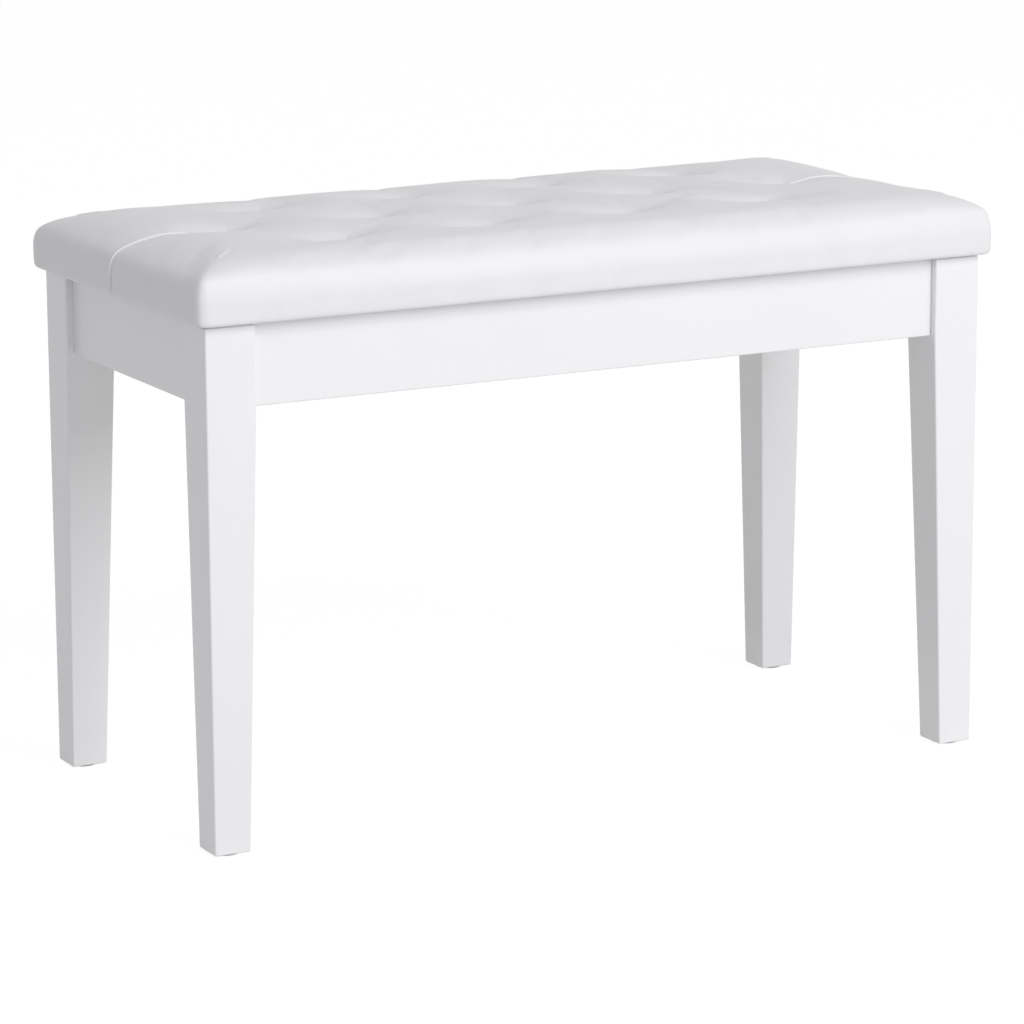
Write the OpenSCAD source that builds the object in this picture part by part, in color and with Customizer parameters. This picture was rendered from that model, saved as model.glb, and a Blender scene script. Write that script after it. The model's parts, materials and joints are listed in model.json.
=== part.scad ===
// Two-seat piano bench: four tapered timber legs and four aprons round a shallow storage box,
// closed by a hinged, tufted, upholstered lid that two folding parallel-arm stays carry.
// +Z is up, +X runs along the bench and -Y is its front. The origin is on the floor under the middle.

/* [Overall] */
// Length over the seat
bench_length = 760; // [660:5:900]
// Depth over the seat
bench_depth = 360; // [330:5:420]
// Height from the floor to the crown of the seat
bench_height = 494; // [474:1:554]
// How far the seat stands out past the legs on every side
seat_overhang = 13; // [8:1:16]

/* [Legs] */
// Width of a leg's square section above the taper
leg_width = 44; // [40:1:50]
// Width of a leg's square section at the foot
leg_foot_width = 32; // [28:1:38]
// Thickness of the plastic glide under each foot
glide_thickness = 2; // [1.5:0.5:4]
// Margin between a glide and the foot's edge
glide_margin = 4; // [2:0.5:6]

/* [Aprons and storage box] */
// Height of the aprons
apron_height = 68; // [64:1:90]
// Thickness of the aprons
apron_thickness = 15; // [12:1:18]
// Step from a leg's outer face in to the apron's face
apron_inset = 6.5; // [4:0.5:9]
// Thickness of the storage floor panel
floor_thickness = 4; // [3:0.5:5]
// Height of the floor panel above the lower edge of the aprons
floor_lift = 6; // [5:0.5:8]
// Depth of the groove that holds the floor panel
groove_depth = 6; // [4:0.5:7]
// Gap between the box and the closed lid
lid_gap = 2; // [1.6:0.2:3]

/* [Joinery] */
// Diameter of the dowels between aprons and legs
dowel_d = 8; // [6:1:8]
// Length of the dowels
dowel_length = 30; // [24:2:32]
// Distance between the two dowels of a joint
dowel_spacing = 32; // [26:1:36]
// Height of the pressed corner brackets
bracket_height = 28; // [24:1:30]
// Sheet thickness of the corner brackets
bracket_thickness = 2; // [1.5:0.5:3]
// Length of a corner bracket's flange along an apron
bracket_flange = 18; // [16:1:20]
// Distance from a leg's inner corner flat to the bracket's web, along the bolt
bracket_standoff = 10; // [8:1:12]
// Diameter of the hanger bolts
bolt_d = 8; // [6:1:10]
// Length of a hanger bolt's end in the leg
bolt_depth = 34; // [28:1:38]

/* [Seat] */
// Height of the upholstered lid from its underside to its crown
seat_thickness = 54; // [51:1:70]
// Thickness of the lid board
board_thickness = 12; // [9:1:13]
// Thickness of the leather cover
cover_thickness = 1.2; // [1:0.1:1.6]
// Width of the cover's hem under the board
hem_width = 18; // [14:1:22]
// Corner radius of the seat in plan
corner_radius = 20; // [14:1:26]
// Radius of the rounded upper edge of the seat, in plan
shoulder_radius = 56; // [40:1:60]
// Height gained over the rounded upper edge
shoulder_rise = 29; // [22:1:31]
// Height gained from the rounded edge to the crown
crown_rise = 2; // [1:0.5:4]
// Distance from the seat's edge to the crown
crown_inset = 85; // [70:5:100]
// Distance between neighbouring tufts along a row
tuft_pitch_x = 135; // [110:5:160]
// Distance between neighbouring rows of tufts
tuft_pitch_y = 85; // [70:5:95]
// Least distance from the end tufts to the seat's end
tuft_margin = 90; // [70:5:110]
// Depth of a tuft below the crown
tuft_depth = 10; // [5:1:14]
// Half-width of the hollow round a tuft
tuft_spread = 30; // [22:1:40]

/* [Hinges] */
// Length of a butt hinge
hinge_length = 60; // [50:2:80]
// Distance from a back leg to the near end of its hinge
hinge_inset = 66; // [50:2:110]
// Outer diameter of the hinge knuckles
knuckle_d = 5.8; // [5:0.2:6]
// Diameter of the hinge pins
hinge_pin_d = 3; // [2.4:0.2:3.2]
// Sheet thickness of the hinge leaves
leaf_thickness = 1.4; // [1:0.1:1.6]
// Angle at which the stays stop the lid
lid_open_angle = 80; // [60:1:85]

/* [Lid stays] */
// Gap between a stay's plate on the box and the corner bracket behind it
plate_gap = 1; // [1:0.5:3]
// Drop from the hinge axis to the stay's pivot on the box
stay_box_drop = 40; // [38:1:42]
// Gap between a folded stay's elbow and the corner bracket in front of it
elbow_gap = 16; // [6:1:24]
// Drop from the hinge axis to the stay's pivot on the lid
stay_lid_drop = 6; // [5:0.5:8]
// Width of the stay arms
arm_width = 13; // [11:1:14]
// Thickness of the stay arms and plates
arm_thickness = 2; // [1.5:0.5:2]
// Diameter of the stay rivets
rivet_d = 5; // [4:0.5:6]

/* [Hidden] */
$fn = 32;

// Clearances
fit = 0.05;          // round a pin, rivet, bolt, dowel or screw in its hole
elbow_fit = 0.1;     // round the elbow rivet in the upper arm
slip = 0.3;          // between parts that move past each other
seat_clear = 0.3;    // between the foam and the cover
board_clear = 0.8;   // between the board's edge and the cover

// Colours
paint = [0.95, 0.95, 0.94];
leather = [0.93, 0.93, 0.92];
steel = [0.72, 0.73, 0.75];
black = [0.12, 0.12, 0.12];
pale_grey = [0.72, 0.72, 0.71];
raw_wood = [0.82, 0.70, 0.52];
foam_yellow = [0.93, 0.88, 0.70];
lining_grey = [0.25, 0.25, 0.26];
twine_white = [0.88, 0.85, 0.78];

// Frame
frame_length = bench_length - 2 * seat_overhang;
frame_depth = bench_depth - 2 * seat_overhang;
lid_z = bench_height - seat_thickness;
frame_top = lid_z - lid_gap;
apron_bottom = frame_top - apron_height;
apron_mid_z = apron_bottom + apron_height / 2;
apron_inner = apron_inset + apron_thickness;
dowel_line = apron_inset + apron_thickness / 2;
floor_z = apron_bottom + floor_lift;
floor_top = floor_z + floor_thickness;
CORNERS = [["front_left", -1, -1], ["front_right", 1, -1], ["back_left", -1, 1], ["back_right", 1, 1]];
SIDES = [["left", -1], ["right", 1]];
dowel_heights = [apron_mid_z - dowel_spacing / 2, apron_mid_z + dowel_spacing / 2];
glide_pin_length = 14;
glide_pin_r = 1.2;

// Corner brackets. A corner's own x and y run inwards from the leg's outer corner.
corner_flat = 8;
bolt_z = (floor_top + frame_top) / 2;
flat_sum = 2 * leg_width - corner_flat;
web_sum = flat_sum + bracket_standoff * sqrt(2);
flat_distance = flat_sum / sqrt(2);
web_distance = web_sum / sqrt(2);
washer_thickness = 1.6;
washer_r = bolt_d;
nut_height = 0.8 * bolt_d;
nut_r = 0.9 * bolt_d;
bolt_tail = 3;
bolt_end = web_distance + bracket_thickness + washer_thickness + nut_height + bolt_tail;
bracket_reach = web_sum - apron_inner;
bracket_screw_reach = bracket_reach + 0.6 * bracket_flange;
bracket_screw_heights = [bolt_z - 0.3 * bracket_height, bolt_z + 0.3 * bracket_height];

// Screws
screw_r = 1.5;
screw_head_r = 3;
screw_head_height = 1.4;
screw_grip = 11;

// Hinges. The axis lies behind the back apron, just under the lid.
hinge_y = frame_depth / 2 + knuckle_d / 2;
hinge_z = frame_top - leaf_thickness;
hinge_offset = frame_length / 2 - leg_width - hinge_inset - hinge_length / 2;
knuckle_count = 5;
knuckle_pitch = hinge_length / knuckle_count;
hinge_screw_r = 1.25;
hinge_screw_head_r = 2.6;
hinge_screw_length = 11;
hinge_screw_pitch = hinge_length / 3;
leaf_free_edge = hinge_y - knuckle_d / 2 - 2 * slip;
box_leaf_front = frame_depth / 2 - apron_inner + slip;
box_screw_y = frame_depth / 2 - apron_inset - apron_thickness / 2;
lid_leaf_width = 24;
lid_screw_y = leaf_free_edge - lid_leaf_width * 0.65;

// Lid board, foam and cover
seat_a = bench_length / 2;
seat_b = bench_depth / 2;
lining_thickness = 0.6;
hem_thickness = 1;
hem_z = lid_z + lining_thickness;
board_z = hem_z + hem_thickness;
board_top = board_z + board_thickness;
side_top = bench_height - crown_rise - shoulder_rise;
side_mid = (hem_z + side_top) / 2;
foam_mid = (board_top + side_top) / 2;
cover_tuck = 3;
board_inset = cover_tuck + cover_thickness + board_clear;
foam_inset = cover_thickness + seat_clear;
lining_inset = hem_width - 2;

// Tufts: a middle row, and a row with one tuft fewer on each side of it
tuft_count = floor((bench_length - 2 * tuft_margin) / tuft_pitch_x) + 1;
tufts = concat(
    [for (i = [0 : tuft_count - 1]) [(i - (tuft_count - 1) / 2) * tuft_pitch_x, 0]],
    [for (s = [-1, 1], i = [0 : tuft_count - 2]) [(i - (tuft_count - 2) / 2) * tuft_pitch_x, s * tuft_pitch_y]]);
tie_r = 1;
tie_channel_r = 1.6;
tie_washer_r = 7;
tie_washer_thickness = 0.8;
tie_recess = 2.2;
tie_knot_r = 2.4;

// Stays, seen from the bench's end: points are [y, z], and an end's own x runs inwards from its apron.
// Hinge axis, box pivot a, elbow c and lid pivot b are the corners of a parallelogram.
plate_length = 44;
plate_screw_steps = [plate_length / 3, plate_length * 2 / 3];
stop_arm = 12;
ear_width = 8;
box_pivot_y = frame_depth / 2 - bracket_reach - bracket_flange - plate_gap - plate_length + arm_width / 2;
stay_lid_reach = box_pivot_y - stop_arm - ear_width / 2 - elbow_gap - bracket_reach + frame_depth / 2;
stay_a = [box_pivot_y, hinge_z - stay_box_drop];
stay_b = [hinge_y - stay_lid_reach, hinge_z - stay_lid_drop];
stay_c = [stay_a.x - stay_lid_reach, stay_a.y - stay_lid_drop];
plate_u = 0;
lower_u = plate_u + arm_thickness + slip;
upper_u = lower_u + arm_thickness + slip;
tab_u = upper_u + arm_thickness + slip;
rivet_r = rivet_d / 2;
rivet_head_r = rivet_d;
rivet_head = 1.2;
foot_width = 20;
foot_length = 38;
foot_screw_step = 12;
stop_pin_r = 2;
bar_width = arm_width - 2;
upper_arm_angle = atan2(stay_b.y - stay_c.y, stay_b.x - stay_c.x);
stop_angle = upper_arm_angle + lid_open_angle + asin((bar_width / 2 + stop_pin_r + slip) / stop_arm);
stop_point = stay_c + stop_arm * [cos(stop_angle), sin(stop_angle)];

// Lid bumpers
bumper_r = 4;
bumper_height = lid_gap - slip;

// ---------------------------------------------------------------- placing

// Puts children, drawn in a corner's own frame, at the corner on side (sx, sy)
module at_corner(sx, sy)
    translate([sx * frame_length / 2, sy * frame_depth / 2, 0])
        mirror([sx > 0 ? 1 : 0, 0, 0])
            mirror([0, sy > 0 ? 1 : 0, 0])
                children();

// Puts children on both aprons of a corner: as drawn, and swapped across the diagonal
module both_ways() {
    children();
    mirror([1, -1, 0]) children();
}

// Puts children, drawn in an end's own frame, on the inner face of the end apron on side sx
module at_end(sx)
    translate([sx * (frame_length / 2 - apron_inner), 0, 0])
        mirror([sx > 0 ? 1 : 0, 0, 0])
            children();

// A rod along the bolt's diagonal in a corner's own frame, from one distance to another
module diagonal_rod(from, to, r)
    translate([0, 0, bolt_z]) rotate([0, 90, 45]) translate([0, 0, from]) cylinder(h = to - from, r = r);

// A flat profile in [y, z], given a thickness along x
module end_plate(u, t) translate([u, 0, 0]) rotate([90, 0, 90]) linear_extrude(t) children();

// A rod along x through point p = [y, z]
module cross_rod(p, from, to, r)
    translate([from, p.x, p.y]) rotate([0, 90, 0]) cylinder(h = to - from, r = r);

module rounded_rect(a, b, r) {
    square([2 * a, 2 * (b - r)], center = true);
    square([2 * (a - r), 2 * b], center = true);
    for (x = [-1, 1], y = [-1, 1]) translate([x * (a - r), y * (b - r)]) circle(r);
}

// ---------------------------------------------------------------- fasteners

// A pan-head screw: the head stands above z = 0 and the shank runs down
module pan_screw(length) {
    cylinder(h = screw_head_height, r1 = screw_head_r, r2 = screw_head_r * 0.7);
    translate([0, 0, -length]) cylinder(h = length, r = screw_r);
}

// A countersunk screw: the head's flat is at z = 0 and the cone fills a leaf's thickness
module flush_screw(grow) {
    translate([0, 0, -leaf_thickness])
        cylinder(h = leaf_thickness, r1 = hinge_screw_r + grow, r2 = hinge_screw_head_r + grow);
    translate([0, 0, -hinge_screw_length]) cylinder(h = hinge_screw_length, r = hinge_screw_r + grow);
}

// Runs children at each hole of the brackets' screws on one apron, with z along the screw's axis outwards
module bracket_screw_places(lift)
    for (z = bracket_screw_heights)
        translate([bracket_screw_reach, apron_inner + lift, z]) rotate([-90, 0, 0]) children();

module dowel_places()
    for (z = dowel_heights)
        translate([leg_width, dowel_line, z]) rotate([0, 90, 0]) children();

module dowel_rod(grow)
    translate([0, 0, -dowel_length / 2 - grow]) cylinder(h = dowel_length + 2 * grow, r = dowel_d / 2 + fit * sign(grow));

// Runs children at each screw of the hinge in the middle of x0, at depth y and height z
module hinge_screw_places(y, z)
    for (s = [-1, 1], i = [-1 : 1])
        translate([s * hinge_offset + i * hinge_screw_pitch, y, z]) children();

module stay_lid_screw_places(z)
    for (side = SIDES)
        at_end(side[1])
            for (s = [-1, 1])
                translate([tab_u + foot_width * 0.6, stay_b.x + s * foot_screw_step, z]) children();

// ---------------------------------------------------------------- box and legs

// Everything that is cut from the aprons and legs at one corner
module corner_holes() {
    both_ways() {
        dowel_places() dowel_rod(0.5);
        bracket_screw_places(0)
            translate([0, 0, -screw_grip - 0.5]) cylinder(h = screw_grip + 1, r = screw_r + fit);
    }
    diagonal_rod(flat_distance - bolt_depth - 0.5, flat_distance + 1, bolt_d / 2 + fit);
}

module long_apron(sy)
    color(paint) difference() {
        translate([-frame_length / 2 + leg_width, sy > 0 ? frame_depth / 2 - apron_inner : apron_inset - frame_depth / 2,
                   apron_bottom])
            cube([frame_length - 2 * leg_width, apron_thickness, apron_height]);
        floor_slot();
        for (sx = [-1, 1]) at_corner(sx, sy) corner_holes();
        if (sy > 0) {
            for (s = [-1, 1])
                translate([s * hinge_offset - hinge_length / 2 - slip, box_leaf_front - 2 * slip, hinge_z])
                    cube([hinge_length + 2 * slip, apron_thickness + 2, leaf_thickness + 1]);
            hinge_screw_places(box_screw_y, hinge_z - hinge_screw_length)
                cylinder(h = hinge_screw_length + 1, r = hinge_screw_r + fit);
        }
    }

module end_apron(sx)
    color(paint) difference() {
        translate([sx > 0 ? frame_length / 2 - apron_inner : apron_inset - frame_length / 2,
                   -frame_depth / 2 + leg_width, apron_bottom])
            cube([apron_thickness, frame_depth - 2 * leg_width, apron_height]);
        floor_slot();
        for (sy = [-1, 1]) at_corner(sx, sy) corner_holes();
        at_end(sx)
            for (step = plate_screw_steps)
                cross_rod([stay_a.x + step, stay_a.y], -screw_grip - 0.5, 1, screw_r + fit);
    }

// The groove for the floor panel, in all four aprons
module floor_slot()
    translate([0, 0, floor_z + floor_thickness / 2])
        cube([frame_length - 2 * (apron_inner - groove_depth), frame_depth - 2 * (apron_inner - groove_depth),
              floor_thickness + 0.2], center = true);

module storage_floor() {
    edge = apron_inner - groove_depth + 0.5;
    notch = leg_width + 0.5;
    color(raw_wood) difference() {
        translate([0, 0, floor_z + floor_thickness / 2])
            cube([frame_length - 2 * edge, frame_depth - 2 * edge, floor_thickness], center = true);
        for (c = CORNERS) at_corner(c[1], c[2]) translate([0, 0, floor_z - 1]) cube([notch, notch, floor_thickness + 2]);
    }
}

module leg_profile()
    polygon([[0, glide_thickness], [leg_foot_width, glide_thickness], [leg_width, apron_bottom],
             [leg_width, frame_top], [0, frame_top]]);

module leg(sx, sy)
    color(paint) at_corner(sx, sy) difference() {
        intersection() {
            translate([0, leg_width, 0]) rotate([90, 0, 0]) linear_extrude(leg_width) leg_profile();
            rotate([90, 0, 90]) linear_extrude(leg_width) leg_profile();
        }
        translate([0, 0, floor_top]) linear_extrude(frame_top)
            polygon([[flat_sum - leg_width - 1, leg_width + 1], [leg_width + 1, flat_sum - leg_width - 1],
                     [leg_width + 1, leg_width + 1]]);
        corner_holes();
        glide_pin(fit);
    }

module glide_pin(grow)
    translate([leg_foot_width / 2, leg_foot_width / 2, glide_thickness / 2])
        cylinder(h = glide_pin_length + grow, r = glide_pin_r + grow);

module glide(sx, sy)
    color(pale_grey) at_corner(sx, sy) {
        glide_pin(0);
        translate([leg_foot_width / 2, leg_foot_width / 2, 0]) rotate_extrude()
            glide_section(leg_foot_width / 2 - glide_margin, glide_thickness);
    }

// Half-section of a glide: flat underneath, with a rounded lower edge
module glide_section(r, h) {
    square([r - h / 2, h]);
    translate([0, h / 2]) square([r, h / 2]);
    translate([r - h / 2, h / 2]) intersection() {
        circle(h / 2);
        translate([0, -h / 2]) square([h / 2, h / 2]);
    }
}

module corner_bracket(sx, sy) {
    bend = bracket_thickness * (sqrt(2) - 1);
    color(steel) at_corner(sx, sy) difference() {
        translate([0, 0, bolt_z - bracket_height / 2]) linear_extrude(bracket_height)
            polygon([[bracket_reach + bracket_flange, apron_inner], [bracket_reach, apron_inner],
                     [apron_inner, bracket_reach], [apron_inner, bracket_reach + bracket_flange],
                     [apron_inner + bracket_thickness, bracket_reach + bracket_flange],
                     [apron_inner + bracket_thickness, bracket_reach + bend],
                     [bracket_reach + bend, apron_inner + bracket_thickness],
                     [bracket_reach + bracket_flange, apron_inner + bracket_thickness]]);
        both_ways() bracket_screw_places(-1) cylinder(h = bracket_thickness + 2, r = screw_r + fit);
        diagonal_rod(web_distance - 1, web_distance + bracket_thickness + 1, bolt_d / 2 + fit);
    }
}

module hanger_bolts()
    color(steel) for (c = CORNERS) at_corner(c[1], c[2]) diagonal_rod(flat_distance - bolt_depth, bolt_end, bolt_d / 2);

module bolt_washers()
    color(steel) for (c = CORNERS) at_corner(c[1], c[2]) difference() {
        diagonal_rod(web_distance + bracket_thickness, web_distance + bracket_thickness + washer_thickness, washer_r);
        diagonal_rod(web_distance, bolt_end, bolt_d / 2 + fit);
    }

module bolt_nuts() {
    from = web_distance + bracket_thickness + washer_thickness;
    color(steel) for (c = CORNERS) at_corner(c[1], c[2]) difference() {
        translate([0, 0, bolt_z]) rotate([0, 90, 45]) translate([0, 0, from]) cylinder(h = nut_height, r = nut_r, $fn = 6);
        diagonal_rod(from - 1, bolt_end, bolt_d / 2 + fit);
    }
}

module bracket_screws()
    color(steel) for (c = CORNERS) at_corner(c[1], c[2]) both_ways()
        bracket_screw_places(bracket_thickness) pan_screw(screw_grip + bracket_thickness);

module apron_dowels()
    color(raw_wood) for (c = CORNERS) at_corner(c[1], c[2]) both_ways() dowel_places() dowel_rod(0);

module lid_bumpers()
    color(black) for (sx = [-1, 1]) {
        translate([sx * 0.4 * frame_length, -frame_depth / 2 + dowel_line, frame_top]) cylinder(h = bumper_height, r = bumper_r);
        translate([sx * (frame_length / 2 - dowel_line), 0, frame_top]) cylinder(h = bumper_height, r = bumper_r);
    }

// ---------------------------------------------------------------- hinges

// Knuckles first, first + 2, ... of a hinge whose left end is at x = 0, with its axis on the origin
module knuckles(first)
    for (i = [first : 2 : knuckle_count - 1])
        translate([i * knuckle_pitch + slip / 2, 0, 0]) rotate([0, 90, 0])
            cylinder(h = knuckle_pitch - slip, r = knuckle_d / 2);

// Strips that join a leaf to its own knuckles
module knuckle_strips(first, reach, z)
    for (i = [first : 2 : knuckle_count - 1])
        translate([i * knuckle_pitch + slip / 2, -reach, z]) cube([knuckle_pitch - slip, reach, leaf_thickness]);

module at_hinge(sx) translate([sx * hinge_offset - hinge_length / 2, hinge_y, hinge_z]) children();

module pin_bore() translate([-1, 0, 0]) rotate([0, 90, 0]) cylinder(h = hinge_length + 2, r = hinge_pin_d / 2 + fit);

module hinge_box_leaf(sx)
    color(steel) difference() {
        at_hinge(sx) difference() {
            union() {
                knuckles(0);
                knuckle_strips(0, hinge_y - leaf_free_edge, 0);
                translate([0, box_leaf_front - hinge_y, 0])
                    cube([hinge_length, leaf_free_edge - box_leaf_front, leaf_thickness]);
            }
            pin_bore();
        }
        hinge_screw_places(box_screw_y, hinge_z + leaf_thickness) flush_screw(fit);
    }

module hinge_lid_leaf(sx)
    color(steel) difference() {
        at_hinge(sx) difference() {
            union() {
                knuckles(1);
                knuckle_strips(1, hinge_y - leaf_free_edge, lid_z - hinge_z - leaf_thickness);
                translate([0, leaf_free_edge - lid_leaf_width - hinge_y, lid_z - hinge_z - leaf_thickness])
                    cube([hinge_length, lid_leaf_width, leaf_thickness]);
            }
            pin_bore();
        }
        hinge_screw_places(lid_screw_y, lid_z - leaf_thickness) mirror([0, 0, 1]) flush_screw(fit);
    }

module hinge_pin(sx)
    color(steel) at_hinge(sx) rotate([0, 90, 0]) {
        cylinder(h = hinge_length, r = hinge_pin_d / 2);
        for (z = [-1, hinge_length]) translate([0, 0, z]) cylinder(h = 1, r = hinge_pin_d / 2 + 0.7);
    }

module hinge_box_screws()
    color(steel) hinge_screw_places(box_screw_y, hinge_z + leaf_thickness) flush_screw(0);

module hinge_lid_screws()
    color(steel) hinge_screw_places(lid_screw_y, lid_z - leaf_thickness) mirror([0, 0, 1]) flush_screw(0);

// ---------------------------------------------------------------- lid stays

// A bar from p to q with a round eye at each end
module arm_profile(p, q, p_grow, q_grow) {
    length = norm(q - p);
    difference() {
        union() {
            translate(p) circle(arm_width / 2);
            translate(q) circle(arm_width / 2);
            translate(p) rotate(atan2(q.y - p.y, q.x - p.x)) translate([0, -bar_width / 2]) square([length, bar_width]);
            children();
        }
        translate(p) circle(rivet_r + p_grow);
        translate(q) circle(rivet_r + q_grow);
    }
}

module stay_box_plate(sx)
    color(steel) at_end(sx) difference() {
        end_plate(plate_u, arm_thickness)
            translate([stay_a.x + plate_length / 2 - arm_width / 2, stay_a.y]) square([plate_length, arm_width], center = true);
        cross_rod(stay_a, plate_u - 1, plate_u + arm_thickness + 1, rivet_r + fit);
        for (step = plate_screw_steps)
            cross_rod([stay_a.x + step, stay_a.y], plate_u - 1, plate_u + arm_thickness + 1, screw_r + fit);
    }

module stay_box_screws()
    color(steel) for (side = SIDES) at_end(side[1])
        for (step = plate_screw_steps)
            translate([plate_u + arm_thickness, stay_a.x + step, stay_a.y]) rotate([0, 90, 0])
                pan_screw(screw_grip + arm_thickness);

module stay_box_rivets()
    color(steel) for (side = SIDES) at_end(side[1]) {
        cross_rod(stay_a, plate_u, lower_u + arm_thickness + 1, rivet_r);
        cross_rod(stay_a, lower_u + arm_thickness + slip / 2, lower_u + arm_thickness + slip / 2 + rivet_head, rivet_head_r);
    }

// The eye round the elbow also carries the stop pin
module stay_lower_arm(sx)
    color(steel) at_end(sx) {
        end_plate(lower_u, arm_thickness) arm_profile(stay_a, stay_c, fit, fit)
            translate(stay_c) rotate(stop_angle) translate([0, -ear_width / 2]) square([stop_arm + ear_width / 2, ear_width]);
        cross_rod(stop_point, lower_u + arm_thickness / 2, upper_u + arm_thickness, stop_pin_r);
    }

module stay_upper_arm(sx)
    color(steel) at_end(sx) end_plate(upper_u, arm_thickness) arm_profile(stay_b, stay_c, fit, elbow_fit);

module stay_elbow_rivet(sx)
    color(steel) at_end(sx) {
        cross_rod(stay_c, lower_u - rivet_head, upper_u + arm_thickness + 1, rivet_r);
        cross_rod(stay_c, lower_u - rivet_head, lower_u, rivet_head_r);
        cross_rod(stay_c, upper_u + arm_thickness + slip / 2, upper_u + arm_thickness + slip / 2 + rivet_head, rivet_head_r);
    }

module stay_lid_bracket(sx)
    color(steel) difference() {
        at_end(sx) {
            end_plate(tab_u, arm_thickness) difference() {
                union() {
                    translate(stay_b) circle(arm_width / 2);
                    translate([stay_b.x - arm_width / 2, stay_b.y]) square([arm_width, lid_z - stay_b.y]);
                }
                translate(stay_b) circle(rivet_r + fit);
            }
            translate([tab_u, stay_b.x - foot_length / 2, lid_z - arm_thickness])
                cube([foot_width, foot_length, arm_thickness]);
        }
        stay_lid_screw_places(lid_z - arm_thickness - 1) cylinder(h = arm_thickness + 2, r = screw_r + fit);
    }

module stay_lid_screws()
    color(steel) stay_lid_screw_places(lid_z - arm_thickness) mirror([0, 0, 1]) pan_screw(screw_grip + arm_thickness);

module stay_lid_rivets()
    color(steel) for (side = SIDES) at_end(side[1]) {
        cross_rod(stay_b, upper_u - 1, tab_u + arm_thickness + 1, rivet_r);
        cross_rod(stay_b, upper_u - slip / 2 - rivet_head, upper_u - slip / 2, rivet_head_r);
        cross_rod(stay_b, tab_u + arm_thickness, tab_u + arm_thickness + rivet_head, rivet_head_r);
    }

// ---------------------------------------------------------------- lid board and underside

module lid_board()
    color(raw_wood) difference() {
        translate([0, 0, board_z]) linear_extrude(board_thickness)
            rounded_rect(seat_a - board_inset, seat_b - board_inset, corner_radius);
        for (t = tufts) translate([t.x, t.y, board_z]) {
            translate([0, 0, -1]) cylinder(h = board_thickness + 2, r = tie_channel_r);
            translate([0, 0, -1]) cylinder(h = tie_recess + 1, r = tie_washer_r + 1);
        }
        hinge_screw_places(lid_screw_y, lid_z) cylinder(h = hinge_screw_length, r = hinge_screw_r + fit);
        stay_lid_screw_places(lid_z) cylinder(h = screw_grip + 0.5, r = screw_r + fit);
    }

module underside_lining()
    color(lining_grey) difference() {
        translate([0, 0, lid_z + lining_thickness / 2])
            cube([2 * (seat_a - lining_inset), 2 * (seat_b - lining_inset), lining_thickness], center = true);
        hinge_screw_places(lid_screw_y, lid_z - 1) cylinder(h = 3, r = hinge_screw_r + fit);
        stay_lid_screw_places(lid_z - 1) cylinder(h = 3, r = screw_r + fit);
    }

module tuft_washers()
    color(steel) for (t = tufts) translate([t.x, t.y, board_z + tie_recess - tie_washer_thickness]) difference() {
        cylinder(h = tie_washer_thickness, r = tie_washer_r);
        translate([0, 0, -1]) cylinder(h = 3, r = tie_r + fit);
    }

module tuft_ties()
    color(twine_white) for (t = tufts) translate([t.x, t.y, 0]) {
        bottom = board_z + tie_recess - tie_washer_thickness - 1;
        translate([0, 0, bottom])
            cylinder(h = surface_z(t.x, t.y, crown_inset) - foam_inset - bottom, r = tie_r);
        translate([0, 0, bottom]) cylinder(h = 1, r = tie_knot_r);
    }

// ---------------------------------------------------------------- tufted form of the seat

// Height of the seat's outer surface over plan point (x, y), at distance e from the seat's edge
function surface_z(x, y, e) =
    side_top
    + shoulder_rise * (e < shoulder_radius ? sqrt(1 - pow(1 - e / shoulder_radius, 2)) : 1)
    + crown_rise * (e < shoulder_radius ? 0 : e > crown_inset ? 1 : 1 - pow((crown_inset - e) / (crown_inset - shoulder_radius), 2))
    - tuft_depth * tuft_hollow(x, y, 0);

// Share of a tuft's depth at (x, y), summed over the tufts from index i on
function tuft_hollow(x, y, i) =
    i >= len(tufts) ? 0
    : exp(-(pow(x - tufts[i].x, 2) + pow(y - tufts[i].y, 2)) / pow(tuft_spread, 2)) + tuft_hollow(x, y, i + 1);

// Grid lines from the middle to the edge: close together over the rounded edge, then even steps
function half_lines(edge, step) = concat(
    [for (k = [1 : floor((edge - shoulder_radius - step / 3) / step)]) k * step],
    [for (a = [90, 67.5, 50, 36, 22, 0]) edge - shoulder_radius * (1 - cos(a))]);
function grid_lines(edge, step) =
    let (h = half_lines(edge, step))
    concat([for (i = [len(h) - 1 : -1 : 0]) -h[i]], [0], h);

lines_x = grid_lines(seat_a, tuft_pitch_x / 6);
lines_y = grid_lines(seat_b, tuft_pitch_y / 5);
last_x = len(lines_x) - 1;
last_y = len(lines_y) - 1;

// Plan point of grid point (x, y), with the corners drawn in to corner_radius and the outline drawn in by inset
function plan_point(x, y, inset) =
    let (dx = abs(x) - (seat_a - corner_radius), dy = abs(y) - (seat_b - corner_radius),
         pull = dx > 0 && dy > 0 ? max(dx, dy) / norm([dx, dy]) : 1,
         px = dx > 0 && dy > 0 ? seat_a - corner_radius + dx * pull : abs(x),
         py = dx > 0 && dy > 0 ? seat_b - corner_radius + dy * pull : abs(y))
    [sign(x) * px * (seat_a - inset) / seat_a, sign(y) * py * (seat_b - inset) / seat_b];

// The top surface, drawn in by inset, as rows of points
function top_points(inset) = [for (x = lines_x, y = lines_y)
    let (p = plan_point(x, y, inset), e = min(seat_a - abs(x), seat_b - abs(y)))
    [p.x, p.y, surface_z(p.x, p.y, e) - inset]];

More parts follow.
